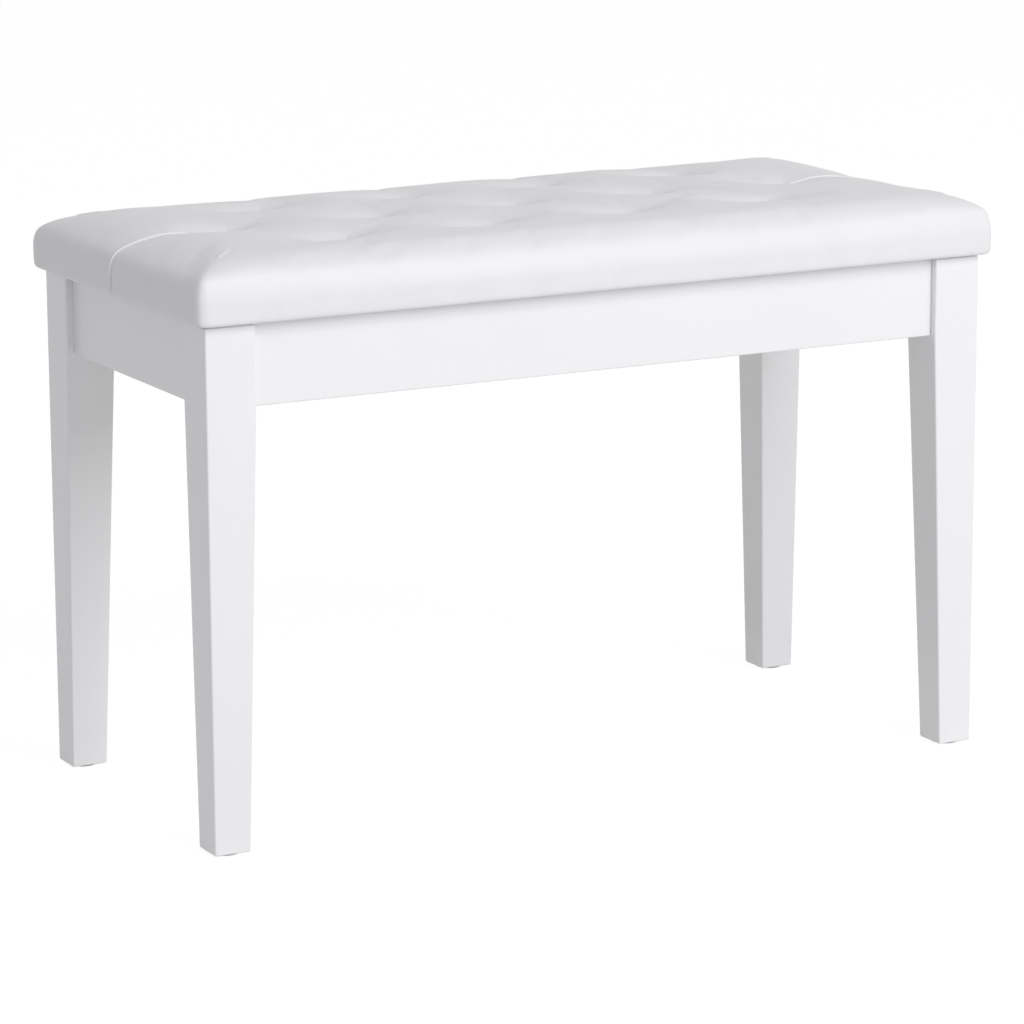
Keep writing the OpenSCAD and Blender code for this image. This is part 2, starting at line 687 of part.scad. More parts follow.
// Grid indices round the edge, anticlockwise from above
edge_ring = concat(
    [for (i = [0 : last_x - 1]) [i, 0]], [for (j = [0 : last_y - 1]) [last_x, j]],
    [for (i = [last_x : -1 : 1]) [i, last_y]], [for (j = [last_y : -1 : 1]) [0, j]]);
ring_count = len(edge_ring);
function edge_loop(inset, z) = [for (e = edge_ring)
    let (p = plan_point(lines_x[e[0]], lines_y[e[1]], inset)) [p.x, p.y, z]];
function grid_index(i, j) = i * (last_y + 1) + j;
grid_count = (last_x + 1) * (last_y + 1);
top_ring = [for (e = edge_ring) grid_index(e[0], e[1])];
function loop_ring(start) = [for (k = [0 : ring_count - 1]) start + k];

function shifted(ring, by) = [for (v = ring) v + by];
function grid_faces(by) = [for (i = [0 : last_x - 1], j = [0 : last_y - 1], half = [0, 1])
    let (a = grid_index(i, j) + by, b = grid_index(i, j + 1) + by, c = grid_index(i + 1, j + 1) + by, d = grid_index(i + 1, j) + by)
    half == 0 ? [a, b, c] : [a, c, d]];
function flipped(faces) = [for (f = faces) [f[0], f[2], f[1]]];
// Faces of the band between an upper ring of point indices and a lower one
function band_faces(upper, lower) = [for (k = [0 : ring_count - 1], half = [0, 1])
    let (n = (k + 1) % ring_count)
    half == 0 ? [upper[k], upper[n], lower[n]] : [upper[k], lower[n], lower[k]]];
function rings_faces(rings) = [for (r = [0 : len(rings) - 2]) each band_faces(rings[r], rings[r + 1])];

module foam_solid() {
    mid = grid_count;
    base = mid + ring_count;
    polyhedron(
        points = concat(top_points(foam_inset), edge_loop(foam_inset, foam_mid), edge_loop(board_inset, board_top)),
        faces = concat(grid_faces(0), rings_faces([top_ring, loop_ring(mid), loop_ring(base)]),
                       [[for (k = [ring_count - 1 : -1 : 0]) base + k]]));
}

module foam_pad()
    color(foam_yellow) difference() {
        foam_solid();
        for (t = tufts) translate([t.x, t.y, board_top - 1]) cylinder(h = seat_thickness, r = tie_channel_r, $fn = 8);
    }

// The cover is one closed skin: outer surface, side walls, hem, and the inner surface back up
module seat_cover() {
    outer_mid = grid_count;
    outer_foot = outer_mid + ring_count;
    outer_hem = outer_foot + ring_count;
    inner_hem = outer_hem + ring_count;
    inner_foot = inner_hem + ring_count;
    inner_mid = inner_foot + ring_count;
    inner_top = inner_mid + ring_count;
    color(leather) polyhedron(
        points = concat(
            top_points(0), edge_loop(0, side_mid), edge_loop(cover_tuck, hem_z), edge_loop(hem_width, hem_z),
            edge_loop(hem_width, board_z), edge_loop(cover_tuck + cover_thickness, board_z),
            edge_loop(cover_thickness, side_mid), top_points(cover_thickness)),
        faces = concat(
            grid_faces(0),
            rings_faces([top_ring, loop_ring(outer_mid), loop_ring(outer_foot), loop_ring(outer_hem),
                         loop_ring(inner_hem), loop_ring(inner_foot), loop_ring(inner_mid),
                         shifted(top_ring, inner_top)]),
            flipped(grid_faces(inner_top))));
}

// ---------------------------------------------------------------- assembly

long_apron(-1);  // front_apron
long_apron(1);  // back_apron
end_apron(-1);  // left_end_apron
end_apron(1);  // right_end_apron
storage_floor();
for (c = CORNERS) {
    leg(c[1], c[2]);
    glide(c[1], c[2]);
    corner_bracket(c[1], c[2]);
}
hanger_bolts();
bolt_washers();
bolt_nuts();
bracket_screws();
apron_dowels();
lid_bumpers();
hinge_box_screws();
hinge_lid_screws();
stay_box_screws();
stay_box_rivets();
stay_lid_screws();
stay_lid_rivets();
for (s = SIDES) {
    hinge_box_leaf(s[1]);
    hinge_lid_leaf(s[1]);
    hinge_pin(s[1]);
    stay_box_plate(s[1]);
    stay_lid_bracket(s[1]);
    stay_lower_arm(s[1]);
    stay_upper_arm(s[1]);
    stay_elbow_rivet(s[1]);
}
lid_board();
foam_pad();
seat_cover();
underside_lining();
tuft_ties();
tuft_washers();
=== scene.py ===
import json
import math
import random

import bmesh
import bpy
from mathutils import Matrix, Vector, noise
from mathutils.bvhtree import BVHTree


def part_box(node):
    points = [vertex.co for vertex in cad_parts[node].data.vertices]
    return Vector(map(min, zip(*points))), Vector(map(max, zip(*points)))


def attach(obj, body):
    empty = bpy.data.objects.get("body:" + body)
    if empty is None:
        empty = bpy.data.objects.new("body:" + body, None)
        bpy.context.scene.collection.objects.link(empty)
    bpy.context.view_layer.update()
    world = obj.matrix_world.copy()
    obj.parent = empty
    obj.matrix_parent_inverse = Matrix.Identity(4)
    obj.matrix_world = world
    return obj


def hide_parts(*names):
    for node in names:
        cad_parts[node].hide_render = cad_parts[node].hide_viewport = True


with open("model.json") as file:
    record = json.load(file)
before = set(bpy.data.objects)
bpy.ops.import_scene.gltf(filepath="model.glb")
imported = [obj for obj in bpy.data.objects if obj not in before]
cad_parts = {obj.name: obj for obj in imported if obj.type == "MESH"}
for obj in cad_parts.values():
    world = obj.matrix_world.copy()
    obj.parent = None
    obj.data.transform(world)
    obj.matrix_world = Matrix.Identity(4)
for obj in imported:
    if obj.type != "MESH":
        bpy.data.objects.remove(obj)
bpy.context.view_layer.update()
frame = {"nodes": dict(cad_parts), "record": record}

SCENE = bpy.context.scene
MM = 0.001
CORNERS = (("front_left", -1, -1), ("front_right", 1, -1), ("back_left", -1, 1), ("back_right", 1, 1))
SIDES = (("left", -1), ("right", 1))


# ---------------------------------------------------------------- shader tools

class Socket:
    """An output socket that takes part in Python expressions: each operation adds its Math node."""

    def __init__(self, shader, output):
        self.shader, self.output = shader, output

    def math(self, operation, *values):
        return self.shader.node("ShaderNodeMath", {"operation": operation}, dict(enumerate(values)))

    def __add__(self, other):
        return self.math("ADD", self, other)

    def __radd__(self, other):
        return self.math("ADD", other, self)

    def __sub__(self, other):
        return self.math("SUBTRACT", self, other)

    def __rsub__(self, other):
        return self.math("SUBTRACT", other, self)

    def __mul__(self, other):
        return self.math("MULTIPLY", self, other)

    def __rmul__(self, other):
        return self.math("MULTIPLY", other, self)

    def at_least(self, other):
        return self.math("MAXIMUM", self, other)

    def sine(self):
        return self.math("SINE", self)

    def clamped(self):
        return self.math("MINIMUM", self.at_least(0.0), 1.0)

    def above(self, low, high):
        """0 below low, 1 above high, and a straight ramp between them."""
        return ((self - low) * (1 / (high - low))).clamped()


class Shader:
    """The node tree of a material or of the world, and the one way of adding nodes to it."""

    def __init__(self, owner):
        owner.use_nodes = True
        self.tree = owner.node_tree

    def node(self, kind, settings=None, inputs=None, output=0):
        """Adds a node, makes its settings, then fills or links its sockets."""
        made = self.tree.nodes.new(kind)
        for name, value in (settings or {}).items():
            setattr(made, name, value)
        for name, value in (inputs or {}).items():
            self.join(value, made.inputs[name])
        return Socket(self, made.outputs[output]) if made.outputs else None

    def join(self, value, socket):
        if isinstance(value, Socket):
            self.tree.links.new(value.output, socket)
        else:
            socket.default_value = value


class Finish(Shader):
    """A procedural material: one Principled surface and the nodes that feed it."""

    def __init__(self, name, **constants):
        self.material = bpy.data.materials.new(name)
        super().__init__(self.material)
        self.surface = self.tree.nodes["Principled BSDF"]
        self.set(**constants)
        self.place = self.node("ShaderNodeTexCoord", output="Object")

    def set(self, **sockets):
        """Sets or links the surface's sockets; base_color stands for Base Color."""
        for name, value in sockets.items():
            self.join(value, self.surface.inputs[name.replace("_", " ").title().replace("Ior", "IOR")])

    def stretched(self, x, y, z):
        """The place on the piece, in metres, scaled along each axis."""
        return self.node("ShaderNodeVectorMath", {"operation": "MULTIPLY"}, {0: self.place, 1: (x, y, z)})

    def cloud(self, scale, detail=2.0, at=None):
        """Soft random patches: the larger the scale, the finer they are."""
        return self.node("ShaderNodeTexNoise", inputs={
            "Vector": at or self.place, "Scale": scale, "Detail": detail})

    def cells(self, scale, feature="F1", randomness=1.0):
        """The distance from the middle of each of many small cells."""
        return self.node("ShaderNodeTexVoronoi", {"feature": feature}, {
            "Vector": self.place, "Scale": scale, "Randomness": randomness}, output="Distance")

    def waves(self, way, length):
        """A sine wave of the given length along way, which is a sum of axes."""
        return (way * (2 * math.pi / length)).sine()

    def axis(self, name):
        return self.node("ShaderNodeSeparateXYZ", inputs={0: self.place}, output=name)

    def marked(self, name):
        """The piece's own attribute of that name."""
        return self.node("ShaderNodeAttribute", {"attribute_name": name}, output="Fac")

    def blend(self, share, first, second):
        """Goes from the first colour to the second as share goes from 0 to 1."""
        return self.node("ShaderNodeMix", {"data_type": "RGBA"}, {0: share, 6: first, 7: second}, output=2)

    def relief(self, height, distance, strength):
        return self.node("ShaderNodeBump", inputs={
            "Height": height, "Distance": distance, "Strength": strength})


def shade(red, green, blue):
    return (red, green, blue, 1.0)


# ---------------------------------------------------------------- finishes

def white_lacquer(name, along):
    """Sprayed white satin lacquer: faint grain along the wood and the lacquer's own fine ripple."""
    f = Finish(name, coat_weight=0.25, coat_roughness=0.22, ior=1.45)
    squeeze = [0.05 if axis == along else 1.0 for axis in "xyz"]
    grain = f.cloud(420.0, 3.0, f.stretched(*squeeze))
    ripple = f.cloud(260.0, 1.0)
    drift = f.cloud(7.0, 2.0)
    f.set(base_color=f.blend(drift.above(0.35, 0.65), shade(0.868, 0.869, 0.888), shade(0.882, 0.881, 0.896)),
          roughness=0.34 + 0.06 * grain + 0.05 * drift,
          normal=f.relief(grain * 0.35 + ripple * 0.65, 0.00006, 0.5))
    return f.material


def seat_leather(name):
    """White upholstery leather: pebbled grain, slow changes of tone, and painted shade that makes it a little
    darker down in the folds.
    """
    f = Finish(name, ior=1.46)
    fold = f.marked("fold")
    wander = f.cloud(35.0, 3.0)
    pebble = f.cells(780.0, "SMOOTH_F1")
    pores = f.cloud(2600.0, 2.0)
    tone = f.blend(wander.above(0.3, 0.7), shade(0.806, 0.804, 0.822), shade(0.826, 0.823, 0.840))
    # The fold attribute paints shade: the tone goes to grey down in the folds and round the ties; it also
    # roughens them.
    f.set(base_color=f.blend((fold * 0.45).clamped(), tone, shade(0.66, 0.65, 0.64)),
          roughness=0.40 + 0.10 * wander + 0.12 * fold,
          normal=f.relief(1.0 - pebble + 0.25 * pores, 0.00018, 0.5))
    return f.material


def plated_steel(name, colour, roughness):
    """Plated sheet and rod: fine tumbling marks and slightly uneven plating."""
    f = Finish(name, metallic=1.0)
    mark = f.cloud(900.0, 3.0)
    patch = f.cloud(60.0, 3.0)
    bright = shade(*colour)
    dull = shade(*(c * 0.82 for c in colour))
    f.set(base_color=f.blend(patch.above(0.35, 0.7), bright, dull),
          roughness=roughness + 0.10 * patch + 0.06 * mark,
          normal=f.relief(mark, 0.00004, 0.35))
    return f.material


def bare_plywood(name):
    """Birch plywood: grain along the length on its faces and glued layers at its edges."""
    f = Finish(name)
    grain = f.cloud(110.0, 4.0, f.stretched(0.05, 1.0, 1.0))
    fleck = f.cloud(900.0, 2.0, f.stretched(0.15, 1.0, 1.0))
    layer = f.waves(f.axis("Z"), 2.4 * MM)
    wood = f.blend(grain.above(0.3, 0.7), shade(0.66, 0.48, 0.28), shade(0.50, 0.34, 0.18))
    f.set(base_color=f.blend(layer.above(0.2, 0.8) * 0.35, wood, shade(0.36, 0.23, 0.12)),
          roughness=0.62 + 0.12 * fleck,
          normal=f.relief(grain + 0.4 * fleck, 0.00012, 0.5))
    return f.material


def panel_board(name):
    """White-faced hardboard: a flat film with a faint texture pressed into it."""
    f = Finish(name)
    press = f.cells(420.0, "SMOOTH_F1")
    drift = f.cloud(12.0, 3.0)
    f.set(base_color=f.blend(drift.above(0.35, 0.65), shade(0.74, 0.72, 0.68), shade(0.78, 0.765, 0.73)),
          roughness=0.48 + 0.08 * drift,
          normal=f.relief(press, 0.00005, 0.4))
    return f.material


def moulded_plastic(name, colour, roughness):
    """Plastic or rubber with the fine spark finish of its mould."""
    f = Finish(name)
    spark = f.cloud(1500.0, 2.0)
    drift = f.cloud(90.0, 2.0)
    f.set(base_color=f.blend(drift.above(0.3, 0.7), shade(*colour), shade(*(c * 0.9 for c in colour))),
          roughness=roughness + 0.1 * drift,
          normal=f.relief(spark, 0.00003, 0.4))
    return f.material


def dust_cloth(name):
    """Pressed non-woven cloth: matted fibres and the dimples of its rollers."""
    f = Finish(name)
    fibre = f.cloud(1400.0, 4.0, f.stretched(0.4, 1.0, 1.0))
    dimple = f.cells(320.0, "F1", randomness=0.15)
    mark = dimple.above(0.25, 0.45)
    cloth = f.blend(fibre.above(0.3, 0.7), shade(0.030, 0.030, 0.032), shade(0.062, 0.062, 0.066))
    f.set(base_color=f.blend(1.0 - mark, cloth, shade(0.022, 0.022, 0.024)),
          roughness=0.85 + 0.1 * fibre,
          normal=f.relief(mark + 0.5 * fibre, 0.00018, 0.6))
    return f.material


def waxed_twine(name):
    """Twisted twine: slanting strands under a little fuzz, with painted shade in the grooves between the
    strands.
    """
    f = Finish(name)
    strand = f.waves(f.axis("Z") + f.axis("X") * 0.8, 1.1 * MM)
    fuzz = f.cloud(2500.0, 3.0)
    # The colour follows the strands' relief: painted shade darkens the grooves and the crests stay lighter.
    f.set(base_color=f.blend(strand.above(-1.0, 1.0), shade(0.58, 0.52, 0.40), shade(0.74, 0.69, 0.57)),
          roughness=0.6 + 0.2 * fuzz,
          normal=f.relief(strand * 0.5 + fuzz, 0.00015, 0.6))
    return f.material


def upholstery_foam(name):
    """Open-cell foam, a little yellowed."""
    f = Finish(name)
    pore = f.cells(900.0, "F1")
    drift = f.cloud(25.0, 2.0)
    f.set(base_color=f.blend(drift.above(0.3, 0.7), shade(0.82, 0.74, 0.46), shade(0.86, 0.79, 0.53)),
          roughness=0.9 + 0.05 * drift,
          normal=f.relief(pore, 0.0003, 0.7))
    return f.material


LACQUER = {axis: white_lacquer("white_lacquer_" + axis, axis) for axis in "xyz"}
LEATHER = seat_leather("white_leather")
ZINC = plated_steel("zinc_plate", (0.60, 0.61, 0.62), 0.34)
NICKEL = plated_steel("nickel_plate", (0.66, 0.63, 0.58), 0.26)
PLYWOOD = bare_plywood("birch_plywood")
HARDBOARD = panel_board("faced_hardboard")
RUBBER = moulded_plastic("black_rubber", (0.020, 0.020, 0.021), 0.62)
GLIDE = moulded_plastic("grey_glide", (0.56, 0.56, 0.55), 0.42)
CLOTH = dust_cloth("dust_cloth")
TWINE = waxed_twine("waxed_twine")
FOAM = upholstery_foam("seat_foam")
THREAD = moulded_plastic("white_thread", (0.80, 0.80, 0.80), 0.55)

CARRIED = {"zinc_steel": ZINC, "hinge_steel": NICKEL, "raw_wood": PLYWOOD, "floor_panel": HARDBOARD,
           "bumper_rubber": RUBBER, "glide_plastic": GLIDE, "lining": CLOTH, "twine": TWINE, "foam": FOAM,
           "painted_wood": LACQUER["z"], "leather": LEATHER}


def finish_carried_nodes():
    """Gives every CAD node the finish of its material slot."""
    for part in frame["record"]["subparts"]:
        node = frame["nodes"][part["node"]]
        finish = CARRIED[part["material_slot"]]
        if not node.data.materials:
            node.data.materials.append(finish)
        for place in node.material_slots:
            place.link = "OBJECT"
            place.material = finish


# ---------------------------------------------------------------- mesh tools

def verts_in(grown):
    return [g for g in grown if isinstance(g, bmesh.types.BMVert)]


def moved_to(bm, matrix):
    bmesh.ops.transform(bm, matrix=matrix, verts=bm.verts)


def sharp_edges(bm, least=0.0):
    """Edges longer than least where two faces meet at more than 25 degrees."""
    return [e for e in bm.edges if len(e.link_faces) == 2 and e.calc_length() > least
            and e.calc_face_angle(0.0) > math.radians(25)]


def ease(bm, edges, width, segments=3):
    """Rounds edges over, as sanding and lacquer leave them."""
    bmesh.ops.bevel(bm, geom=edges, offset=width, offset_type="OFFSET", segments=segments,
                    affect="EDGES", profile=0.5, material=-1, clamp_overlap=True)


def in_scene(name, data):
    made = bpy.data.objects.new(name, data)
    SCENE.collection.objects.link(made)
    return made


def mesh_from(name, bm):
    mesh = bpy.data.meshes.new(name)
    bm.to_mesh(mesh)
    bm.free()
    return mesh


def piece(name, bm, finish, body, replaced=()):
    """Closes a mesh into a named piece that rides on its body and stands for its CAD nodes."""
    bmesh.ops.remove_doubles(bm, verts=bm.verts, dist=1e-6)
    bmesh.ops.recalc_face_normals(bm, faces=bm.faces)
    mesh = mesh_from(name, bm)
    made = in_scene(name, mesh)
    mesh.materials.append(finish)
    mesh.shade_smooth()
    mesh.set_sharp_from_angle(angle=math.radians(40))
    weighted = made.modifiers.new("even_shading", "WEIGHTED_NORMAL")
    weighted.keep_sharp = True
    settle(made, body, replaced)
    return made


def settle(made, body, replaced=()):
    """Gives a piece its body and the CAD nodes that it stands for."""
    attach(made, body)
    if replaced:
        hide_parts(*replaced)


def finished_mesh(made, name):
    """The piece's mesh with its modifiers applied."""
    graph = bpy.context.evaluated_depsgraph_get()
    mesh = bpy.data.meshes.new_from_object(made.evaluated_get(graph), depsgraph=graph)
    mesh.name = name
    return mesh


# ---------------------------------------------------------------- frame sizes, from the CAD boxes

BOX = {name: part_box(name) for name in frame["nodes"]}
APRON_LOW = BOX["front_apron"][0]
LEG_LOW, LEG_HIGH = BOX["leg_front_left"]
FLOOR_TOP = BOX["storage_floor"][1].z
LEG_WIDTH = LEG_HIGH.x - LEG_LOW.x
GLIDE_MIDDLE = (BOX["glide_front_left"][0].x + BOX["glide_front_left"][1].x) / 2
FOOT_WIDTH = 2 * (GLIDE_MIDDLE - LEG_LOW.x)
BRACKET_FLAT = 8 * MM                        # cut from the leg's inner top edge, for the corner bracket
LEAF_THICKNESS, LEAF_CLEARANCE = 1.4 * MM, 0.3 * MM
LEG_EASE, APRON_EASE = 1.6 * MM, 1.2 * MM    # how far their edges are rounded over
SEAT_LOW, SEAT_HIGH = BOX["seat_cover"]


# ---------------------------------------------------------------- legs and aprons

def leg(corner, sx, sy):
    """A leg square above, tapered on its two inner faces below the aprons, flattened for its bracket."""
    bm = bmesh.new()
    bmesh.ops.create_grid(bm, x_segments=1, y_segments=1, size=0.5)
    foot = Matrix.Translation((FOOT_WIDTH / 2, FOOT_WIDTH / 2, LEG_LOW.z))
    moved_to(bm, foot @ Matrix.Scale(FOOT_WIDTH, 4))
    top = bm.faces[:]
    width = FOOT_WIDTH
    for height in (APRON_LOW.z, FLOOR_TOP, LEG_HIGH.z):
        grown = bmesh.ops.extrude_face_region(bm, geom=top)["geom"]
        if width == LEG_WIDTH:  # the first face that it grows from stays, as the foot's sole
            bmesh.ops.delete(bm, geom=top, context="FACES_ONLY")
        top = [g for g in grown if isinstance(g, bmesh.types.BMFace)]
        verts = verts_in(grown)
        bmesh.ops.scale(bm, vec=(LEG_WIDTH / width, LEG_WIDTH / width, 1), verts=verts)
        bmesh.ops.translate(bm, vec=(0, 0, height - verts[0].co.z), verts=verts)
        width = LEG_WIDTH
    inner = [e for e in bm.edges
             if all(v.co.z > FLOOR_TOP - MM and min(v.co.x, v.co.y) > LEG_WIDTH - MM for v in e.verts)]
    ease(bm, inner, BRACKET_FLAT, 1)
    ease(bm, sharp_edges(bm), LEG_EASE)
    place = Matrix.Translation((-sx * LEG_LOW.x, -sy * LEG_LOW.y, 0))
    moved_to(bm, place @ Matrix.Diagonal((-sx, -sy, 1, 1)))
    name = "leg_" + corner
    piece("lacquered_" + name, bm, LACQUER["z"], "frame", [name])


def board(outline, depth):
    """A board from its outline in x and z, standing from y = 0 to y = depth."""
    bm = bmesh.new()
    face = bmesh.ops.contextual_create(bm, geom=[bm.verts.new((x, 0, z)) for x, z in outline])["faces"]
    grown = bmesh.ops.extrude_face_region(bm, geom=face)["geom"]
    bmesh.ops.translate(bm, vec=(0, depth, 0), verts=verts_in(grown))
    return bm


def apron(name):
    """An apron board with its long edges eased; the back one has ledges for the hinge leaves."""
    low, high = BOX[name]
    ends = "end" in name
    reach = high.y if ends else high.x
    outline = [(-reach, low.z), (reach, low.z), (reach, high.z)]
    if name == "back_apron":
        ledge = high.z - LEAF_THICKNESS
        for side in ("right", "left"):
            leaf_low, leaf_high = BOX["hinge_box_leaf_" + side]
            left, right = leaf_low.x - LEAF_CLEARANCE, leaf_high.x + LEAF_CLEARANCE
            outline += [(right, high.z), (right, ledge), (left, ledge), (left, high.z)]
    outline.append((-reach, high.z))
    bm = board(outline, high.x - low.x if ends else high.y - low.y)
    ease(bm, sharp_edges(bm, 20 * MM), APRON_EASE)
    if ends:
        moved_to(bm, Matrix.Rotation(math.pi / 2, 4, "Z"))
    moved_to(bm, Matrix.Translation((high.x, 0, 0) if ends else (0, low.y, 0)))
    piece("lacquered_" + name, bm, LACQUER["y" if ends else "x"], "frame", [name])


# ---------------------------------------------------------------- tufted seat

HALF = Vector((SEAT_HIGH.x, SEAT_HIGH.y))
HEM_LOW = SEAT_LOW.z - 1.2 * MM
BOARD_LOW, BOARD_HIGH = BOX["lid_board"]
WALL_TOP = SEAT_LOW.z + 22.6 * MM       # where the upright sides turn over into the top
# In from its edges the cover climbs by rate * distance ** power, up to the rise of its shoulder. In mm.
ENDS, FRONT, BACK = (7.8, 0.335, 31.0), (13.2, 0.23, 26.7), (4.6, 0.448, 31.0)
FULL_RISE = 31.2                        # the rise in the middle of the seat, in millimetres
CROWN = 128 * MM                        # how far in from its edges the top still rises
MITRE = 45 * MM                         # how far to each side of a mitre line two edges blend
DRAWN, SWELL = 3 * MM, 2.2 * MM         # kept back at the sides and on top, for the stuffing to fill
CORNER = 10 * MM                        # radius of the seat's corners in plan
HEM = 18 * MM                           # width of the leather that is turned under
CELL = 5 * MM
SEAM_START = 270 * MM                   # from the middle of the seat, where the end tufts sit
PITCH = Vector((135 * MM, 85 * MM))     # between tufts, along and across the seat
TUFTS = [Vector(((i - 2) * PITCH.x, 0)) for i in range(5)] + [
    Vector(((i - 1.5) * PITCH.x, row * PITCH.y)) for row in (-1, 1) for i in range(4)]
TUFT_DEPTH = 12 * MM
# The folds that a tie pulls into the leather, in millimetres from the tie: start, end, depth, width.
TIE_FOLDS = (((-4, 0), (-44, 1), 0.5, 2.2), ((0, -3), (4, 9), 0.5, 1.6),
             ((12, -1), (30, -3), 0.45, 2.6), ((-6, -4), (-24, -16), 0.3, 2.8))
FOLD_START, FOLD_END = -0.2, 1.15       # where a fold has faded out, as shares of its length
TIE_REACH = 60 * MM                     # further than this from every tie, a fold belongs to a corner


def bell(distance, width):
    return math.exp(-(distance / width) ** 2)


def ramp(value, low, high):
    """0 at low, 1 at high, and smooth between them."""
    t = min(1.0, max(0.0, (value - low) / (high - low)))
    return t * t * (3 - 2 * t)


def soft_least(one, other, soft):
    """The lesser of two values, rounded off where they pass each other."""
    return other - soft * math.log1p(math.exp((other - one) / soft))


def insets(x, y):
    """How far in a plan point is from the seat's nearer end and from its nearer long side."""
    return HALF.x - abs(x), HALF.y - abs(y)


def nearest_tuft(spot):
    return min((spot - t).length for t in TUFTS)


def edge_distance(x, y):
    """Distance in from the seat's edge, eased across the corners' mitre lines away from the edge."""
    least, most = sorted(insets(x, y))
    soft = 0.5 * MM + 6 * MM * ramp(least, 6 * MM, MITRE)
    return max(0.0, soft_least(most, least, soft))


def hollow(dx, dy):
    """Depth of a tuft's hollow: it runs to the left of the tie and climbs steeply behind it."""
    climb = dy / (12 * MM) if dy > 0 else dy / (26 * MM)
    along = (dx + 15 * MM) / (32 * MM)
    dish = math.exp(-along ** 2 - climb ** 2)
    pit = math.exp(-math.hypot(dx, dy) / (7 * MM))
    return TUFT_DEPTH * (0.66 * dish + 0.34 * pit)


def seat_height(x, y):
    """Height of the top before it is stuffed: shoulder and crown, less the tufts and the end seams' pull."""
    e = edge_distance(x, y)
    from_end, from_side = insets(x, y)
    side = ramp(from_end - from_side, -MITRE, MITRE)
    rate, power, rise = (a + (b - a) * side for a, b in zip(ENDS, FRONT if y < 0 else BACK))
    shoulder = max(0.0, soft_least(rate * (e / MM) ** power, rise, 0.5)) / rise
    crown = 1 - max(0.0, 1 - e / CROWN) ** 2
    sunk = sum(hollow(x - t.x, y - t.y) for t in TUFTS)
    pulled = 2 * MM * bell(y, 20 * MM) * ramp(abs(x), SEAM_START - 10 * MM, SEAM_START + 20 * MM) * shoulder
    return WALL_TOP + (rise * MM - SWELL) * shoulder + (FULL_RISE - rise) * MM * crown - sunk - pulled


def near_edge(value, half):
    """Moves a grid line towards the seat's edge, so that the mesh is finest at the bend."""
    e = half - abs(value)
    return math.copysign(half - e * (1 - 0.62 * bell(e, 9 * MM)), value)


def drawn_in(x, y, inset):
    """A plan point with the seat's corners rounded and its outline drawn in by inset."""
    px, py = abs(x), abs(y)
    dx, dy = px - HALF.x + CORNER, py - HALF.y + CORNER
    if dx > 0 and dy > 0:
        pull = max(dx, dy) / math.hypot(dx, dy)
        px, py = px + dx * (pull - 1), py + dy * (pull - 1)
    return (math.copysign(px * (1 - inset / HALF.x), x), math.copysign(py * (1 - inset / HALF.y), y))


def rim_of(bm):
    return [e for e in bm.edges if e.is_boundary]


def grown_rim(bm):
    """Grows the open rim by a new ring, and returns the ring's vertices."""
    return verts_in(bmesh.ops.extrude_edge_only(bm, edges=rim_of(bm))["geom"])


def in_order(bm):
    """Puts edges and faces in the order of their corners, so that the stuffing is the same on every run."""
    bm.verts.index_update()
    for elements in (bm.edges, bm.faces):
        places = sorted(elements, key=lambda element: sorted(v.index for v in element.verts))
        rank = {element: place for place, element in enumerate(places)}
        elements.sort(key=rank.get)
        elements.index_update()


def seat_blank():
    """The cover before it is stuffed: its top, sides and hem in one even mesh."""
    bm = bmesh.new()
    columns, rows = round(2 * HALF.x / CELL), round(2 * HALF.y / CELL)
    bmesh.ops.create_grid(bm, x_segments=columns, y_segments=rows, size=1.0)
    bmesh.ops.scale(bm, vec=(HALF.x, HALF.y, 1), verts=bm.verts)
    plan = bm.verts.layers.float_vector.new("plan")
    for v in bm.verts:
        x, y = near_edge(v.co.x, HALF.x), near_edge(v.co.y, HALF.y)
        v[plan] = (x, y, 0)
        v.co = (*drawn_in(x, y, DRAWN), seat_height(x, y))
    under = DRAWN + 2.4 * MM
    rings = [(WALL_TOP - 6.0 * MM, DRAWN - 0.1 * MM), (WALL_TOP - 12.0 * MM, DRAWN),
             (WALL_TOP - 18.0 * MM, DRAWN + 0.1 * MM), (HEM_LOW + 1.8 * MM, DRAWN + 0.4 * MM),
             (HEM_LOW, under)]
    rings += [(HEM_LOW, under + (HEM - under) * k / 4) for k in (1, 2, 3, 4)]
    for z, inset in rings:
        for v in grown_rim(bm):
            v.co = (*drawn_in(v[plan].x, v[plan].y, inset), z)
    bmesh.ops.recalc_face_normals(bm, faces=bm.faces)
    if sum(f.normal.z for f in bm.faces if f.calc_center_median().z > WALL_TOP) < 0:
        bmesh.ops.reverse_faces(bm, faces=bm.faces)
    in_order(bm)
    return bm


def held_share(v):
    """How firmly a point of the cover is held: by the staples, a tie, an end seam or the board's edge."""
    if v.co.z < SEAT_LOW.z + 1 * MM or nearest_tuft(v.co.xy) < 3.6 * MM:
        return 1.0
    if v.co.z < WALL_TOP + 13 * MM:
        return 0.5
    return 0.8 if abs(v.co.y) < 1 * MM and abs(v.co.x) > SEAM_START else 0.0


def hold(blank):
    """Marks what the ties, the end seams and the staples hold: the tufts, the seam lines and the hem."""
    held = blank.vertex_groups.new(name="held")
    for v in blank.data.vertices:
        share = held_share(v)
        if share:
            held.add([v.index], share, "REPLACE")


